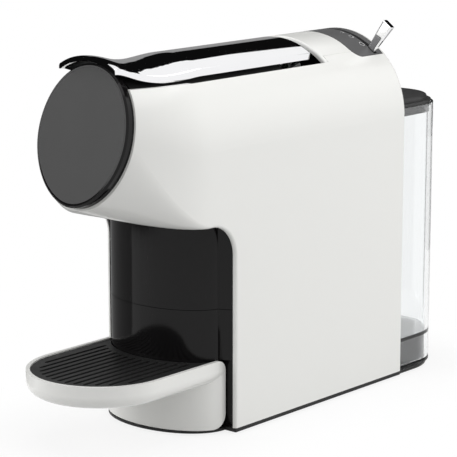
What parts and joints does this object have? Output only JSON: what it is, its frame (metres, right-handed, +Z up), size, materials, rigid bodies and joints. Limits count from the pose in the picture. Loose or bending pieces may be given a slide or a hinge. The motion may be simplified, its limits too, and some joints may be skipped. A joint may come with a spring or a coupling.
{
  "type": "pod coffee machine",
  "caption": "Narrow pod coffee machine with a round-nosed white casing, black front disc and column, chrome lever, drip tray with pod bin and a clear tank behind.",
  "frame": {"origin": "on the table, under the middle of the machine's outline", "axes": "+Z up, -Y towards the user (the tray), +Y towards the tank, +X the flank seen in the picture"},
  "size_m": [0.112, 0.3576, 0.2501],
  "materials": {
    "shell_white": "satin moulded white",
    "gloss_black": "high gloss black",
    "matte_black": "fine matte black",
    "disc_grey": "matte charcoal, bevelled rim",
    "panel_grey": "satin charcoal",
    "chrome": "polished chrome",
    "tank_clear": "clear moulding",
    "lid_grey": "satin dark grey",
    "dock_grey": "matte mid grey",
    "filter_grey": "pale grey mesh moulding",
    "steel": "turned steel",
    "aluminium": "cast aluminium",
    "rubber": "soft black rubber",
    "hose": "milky silicone",
    "board_green": "coated circuit board",
    "lens": "frosted light lens"
  },
  "bodies": {
    "machine": {"base_plate": "matte_black", "base_screws": "steel", "bay_wall": "matte_black", "board_rails": "matte_black", "body_shell": "shell_white", "brew_frame": "steel", "brew_head": "matte_black", "brew_hose": "hose", "chassis": "matte_black", "control_board": "board_green", "control_panel": "panel_grey", "cord_gland": "matte_black", "disc_rim": "gloss_black", "feet": "rubber", "flow_meter": "filter_grey", "frame_screws": "steel", "front_column": "gloss_black", "front_disc": "disc_grey", "panel_lights": "lens", "pressure_hose": "hose", "pump": "steel", "pump_mounts": "rubber", "rear_panel": "matte_black", "selector_shaft": "steel", "spout": "matte_black", "suction_hose": "hose", "tank_dock": "dock_grey", "tank_seal": "rubber", "thermoblock": "aluminium", "top_bridge": "shell_white", "top_deck": "matte_black"},
    "lever": {"lever": "chrome", "lever_shaft": "steel", "lever_cam": "steel"},
    "piston": {"piston": "aluminium", "piston_pin": "steel"},
    "selector": {"selector_paddle": "chrome", "selector_arm": "steel"},
    "tray": {"drip_tray": "shell_white", "pod_bin": "gloss_black"},
    "grille": {"drip_grille": "matte_black"},
    "tank": {"water_tank": "tank_clear", "tank_valve": "filter_grey", "tank_dome": "filter_grey"},
    "lid": {"tank_lid": "lid_grey"}
  },
  "joints": [
    {"name": "lever_lift", "type": "hinge", "parent": "machine", "child": "lever", "pos_m": [0, 0.02585, 0.218], "axis": [-1, 0, 0], "range_deg": [0, 78]},
    {"name": "piston_slide", "type": "slide", "parent": "machine", "child": "piston", "axis": [0, 0.9677, 0.2521], "range_m": [0, 0.028], "deforming": ["brew_hose"]},
    {"name": "selector_turn", "type": "hinge", "parent": "machine", "child": "selector", "pos_m": [0, 0.1026, 0.185], "axis": [0, -1, 0], "range_deg": [0, 75]},
    {"name": "tray_pull", "type": "slide", "parent": "machine", "child": "tray", "axis": [0, -1, 0], "range_m": [0, 0.12]},
    {"name": "grille_lift", "type": "slide", "parent": "tray", "child": "grille", "axis": [0, 0, 1], "range_m": [0, 0.04]},
    {"name": "tank_lift", "type": "slide", "parent": "machine", "child": "tank", "axis": [0, 0, 1], "range_m": [0, 0.22]},
    {"name": "lid_lift", "type": "slide", "parent": "tank", "child": "lid", "axis": [0, 0, 1], "range_m": [0, 0.04]}
  ],
  "couplings": [
    {"joint": "piston_slide", "follows": "lever_lift", "m_per_rad": 0.020567}
  ]
}
